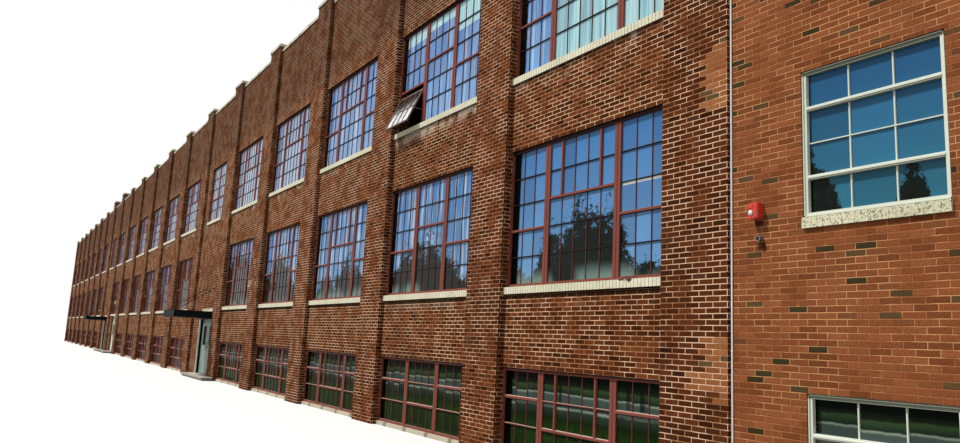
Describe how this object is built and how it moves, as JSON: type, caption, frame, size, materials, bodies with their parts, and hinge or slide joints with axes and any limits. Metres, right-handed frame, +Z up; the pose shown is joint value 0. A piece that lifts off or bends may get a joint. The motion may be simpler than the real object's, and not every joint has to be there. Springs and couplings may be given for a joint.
{
  "type": "factory building, 1:10 scale model",
  "caption": "Long three-storey brick factory wing with pilasters, steel windows, canopied doors and a newer brick end.",
  "frame": {"origin": "centre of the bounding box at ground level", "axes": "+X along the street front towards the newer wing, +Y from the street front to the rear, +Z up"},
  "size_m": [10.672, 1.9934, 1.18],
  "materials": {
    "old_brick": "rough",
    "new_brick": "rough",
    "sill_stone": "matte",
    "concrete": "matte",
    "floor": "matte",
    "roofing": "matte",
    "red_frame": "satin",
    "white_frame": "satin",
    "window_glass": "gloss",
    "door_glass": "gloss",
    "canopy_metal": "satin",
    "door_paint": "satin",
    "conduit": "satin",
    "alarm": "gloss",
    "lamp": "satin",
    "pipe": "satin"
  },
  "bodies": {
    "building": {"front_piers": "old_brick", "rear_piers": "old_brick", "curb_stones": "sill_stone", "lower_panels": "old_brick", "upper_panels": "old_brick", "parapet_panels": "old_brick", "doorway_side_walls": "old_brick", "stair_bay_walls": "old_brick", "narrow_window_sides": "old_brick", "west_end_wall": "old_brick", "joint_wall": "old_brick", "new_front_wall": "new_brick", "new_rear_wall": "new_brick", "new_end_wall": "new_brick", "stone_sills": "sill_stone", "new_wing_sills": "sill_stone", "parapet_copings": "sill_stone", "end_copings": "sill_stone", "pier_caps": "sill_stone", "ground_floor": "concrete", "first_floor": "floor", "first_floor_front": "floor", "second_floor": "floor", "roof_deck": "roofing", "low_window_frames": "red_frame", "first_window_frames": "red_frame", "second_window_frames": "red_frame", "new_window_frames": "white_frame", "low_window_glass": "window_glass", "first_window_glass": "window_glass", "second_window_glass": "window_glass", "new_window_glass": "window_glass", "open_vent_sash": "red_frame", "open_vent_pane": "window_glass", "entrance_canopies": "canopy_metal", "canopy_ties": "canopy_metal", "entrance_bands": "sill_stone", "entrance_steps": "concrete", "door_frames": "white_frame", "white_frame": "white_frame", "white_panels": "white_frame", "white_sidelight": "door_glass", "joint_conduit": "conduit", "alarm_box": "alarm", "wall_lamps": "lamp", "pipe_stub": "pipe"},
    "door_1_left": {"door_1_left_leaf": "door_paint", "door_1_left_pane": "door_glass"},
    "door_1_right": {"door_1_right_leaf": "door_paint", "door_1_right_pane": "door_glass"},
    "door_2_left": {"door_2_left_leaf": "door_paint", "door_2_left_pane": "door_glass"},
    "door_2_right": {"door_2_right_leaf": "door_paint", "door_2_right_pane": "door_glass"},
    "white_door": {"white_door_leaf": "white_frame", "white_door_pane": "door_glass"}
  },
  "joints": [
    {"name": "door_1_left_hinge", "type": "hinge", "parent": "building", "child": "door_1_left", "pos_m": [1.456, -0.83555, 0.1], "axis": [0, 0, -1], "range_deg": [0, 90]},
    {"name": "door_1_right_hinge", "type": "hinge", "parent": "building", "child": "door_1_right", "pos_m": [1.656, -0.83555, 0.1], "axis": [0, 0, 1], "range_deg": [0, 90]},
    {"name": "door_2_left_hinge", "type": "hinge", "parent": "building", "child": "door_2_left", "pos_m": [-1.82, -0.83555, 0.1], "axis": [0, 0, -1], "range_deg": [0, 90]},
    {"name": "door_2_right_hinge", "type": "hinge", "parent": "building", "child": "door_2_right", "pos_m": [-1.62, -0.83555, 0.1], "axis": [0, 0, 1], "range_deg": [0, 90]},
    {"name": "white_door_hinge", "type": "hinge", "parent": "building", "child": "white_door", "pos_m": [-1.396, -0.83555, 0.1], "axis": [0, 0, -1], "range_deg": [0, 90]}
  ]
}
